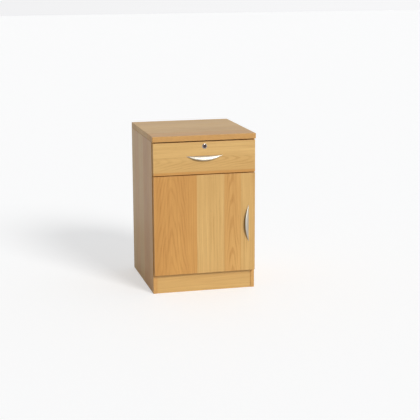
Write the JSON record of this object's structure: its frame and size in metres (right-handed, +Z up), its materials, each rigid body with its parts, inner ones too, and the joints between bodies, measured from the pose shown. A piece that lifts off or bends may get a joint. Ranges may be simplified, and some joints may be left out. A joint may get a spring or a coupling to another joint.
{
  "type": "bedside cabinet",
  "caption": "Board bedside cabinet: a lockable drawer on roller runners above a hinged cupboard door with crescent handles and a shelf inside, on a flush plinth",
  "frame": {"origin": "on the floor, under the middle of the bounding box of the closed cabinet with its handles", "axes": "+Z up, the fronts face -Y, +X to the right as seen from the front"},
  "size_m": [0.48, 0.533, 0.73],
  "materials": {
    "oak_laminate": "light oak grain laminate, satin",
    "pale_board": "pale foil-faced board, satin",
    "satin_nickel": "satin nickel plate",
    "zinc_steel": "bright zinc plate",
    "enamelled_steel": "cream powder coat",
    "white_nylon": "moulded nylon",
    "dark_rubber": "matt"
  },
  "bodies": {
    "cabinet": {"side_panel_left": "oak_laminate", "side_panel_right": "oak_laminate", "top_panel": "oak_laminate", "bottom_panel": "oak_laminate", "divider_panel": "oak_laminate", "plinth_front": "oak_laminate", "plinth_rear": "oak_laminate", "shelf": "oak_laminate", "back_panel": "pale_board", "lock_strike": "zinc_steel", "hinge_plate_upper": "zinc_steel", "hinge_plate_lower": "zinc_steel", "hinge_arm_upper": "zinc_steel", "hinge_arm_lower": "zinc_steel", "shelf_pin_front_left": "zinc_steel", "shelf_pin_front_right": "zinc_steel", "shelf_pin_rear_left": "zinc_steel", "shelf_pin_rear_right": "zinc_steel", "runner_cabinet_left": "enamelled_steel", "runner_cabinet_right": "enamelled_steel", "runner_axle_front_left": "zinc_steel", "runner_axle_front_right": "zinc_steel"},
    "drawer": {"drawer_front": "oak_laminate", "drawer_side_left": "pale_board", "drawer_side_right": "pale_board", "drawer_bottom": "pale_board", "drawer_back": "pale_board", "drawer_handle": "satin_nickel", "drawer_handle_screw_left": "zinc_steel", "drawer_handle_screw_right": "zinc_steel", "lock_housing": "satin_nickel", "lock_nut": "zinc_steel", "runner_drawer_left": "enamelled_steel", "runner_drawer_right": "enamelled_steel", "runner_axle_rear_left": "zinc_steel", "runner_axle_rear_right": "zinc_steel"},
    "wheel_front_left": {"runner_wheel_front_left": "white_nylon"},
    "wheel_front_right": {"runner_wheel_front_right": "white_nylon"},
    "wheel_rear_left": {"runner_wheel_rear_left": "white_nylon"},
    "wheel_rear_right": {"runner_wheel_rear_right": "white_nylon"},
    "lock": {"lock_plug": "satin_nickel", "lock_cam": "zinc_steel", "lock_cam_screw": "zinc_steel"},
    "door": {"door_panel": "oak_laminate", "door_handle": "satin_nickel", "door_handle_screw_lower": "zinc_steel", "door_handle_screw_upper": "zinc_steel", "hinge_cup_upper": "zinc_steel", "hinge_cup_lower": "zinc_steel", "hinge_pin_upper": "zinc_steel", "hinge_pin_lower": "zinc_steel", "door_bumper_upper": "dark_rubber", "door_bumper_lower": "dark_rubber"}
  },
  "joints": [
    {"name": "drawer_slide", "type": "slide", "parent": "cabinet", "child": "drawer", "axis": [0, -1, 0], "range_m": [0, 0.33]},
    {"name": "wheel_front_left_spin", "type": "hinge", "parent": "cabinet", "child": "wheel_front_left", "pos_m": [-0.216, -0.216, 0.573], "axis": [1, 0, 0], "continuous": true},
    {"name": "wheel_front_right_spin", "type": "hinge", "parent": "cabinet", "child": "wheel_front_right", "pos_m": [0.216, -0.216, 0.573], "axis": [1, 0, 0], "continuous": true},
    {"name": "wheel_rear_left_spin", "type": "hinge", "parent": "drawer", "child": "wheel_rear_left", "pos_m": [-0.216, 0.204, 0.573], "axis": [1, 0, 0], "continuous": true},
    {"name": "wheel_rear_right_spin", "type": "hinge", "parent": "drawer", "child": "wheel_rear_right", "pos_m": [0.216, 0.204, 0.573], "axis": [1, 0, 0], "continuous": true},
    {"name": "lock_turn", "type": "hinge", "parent": "drawer", "child": "lock", "pos_m": [0, -0.252, 0.68], "axis": [0, 1, 0], "range_deg": [0, 90]},
    {"name": "door_swing", "type": "hinge", "parent": "cabinet", "child": "door", "pos_m": [-0.2298, -0.2425, 0.313], "axis": [0, 0, -1], "range_deg": [0, 95]}
  ]
}
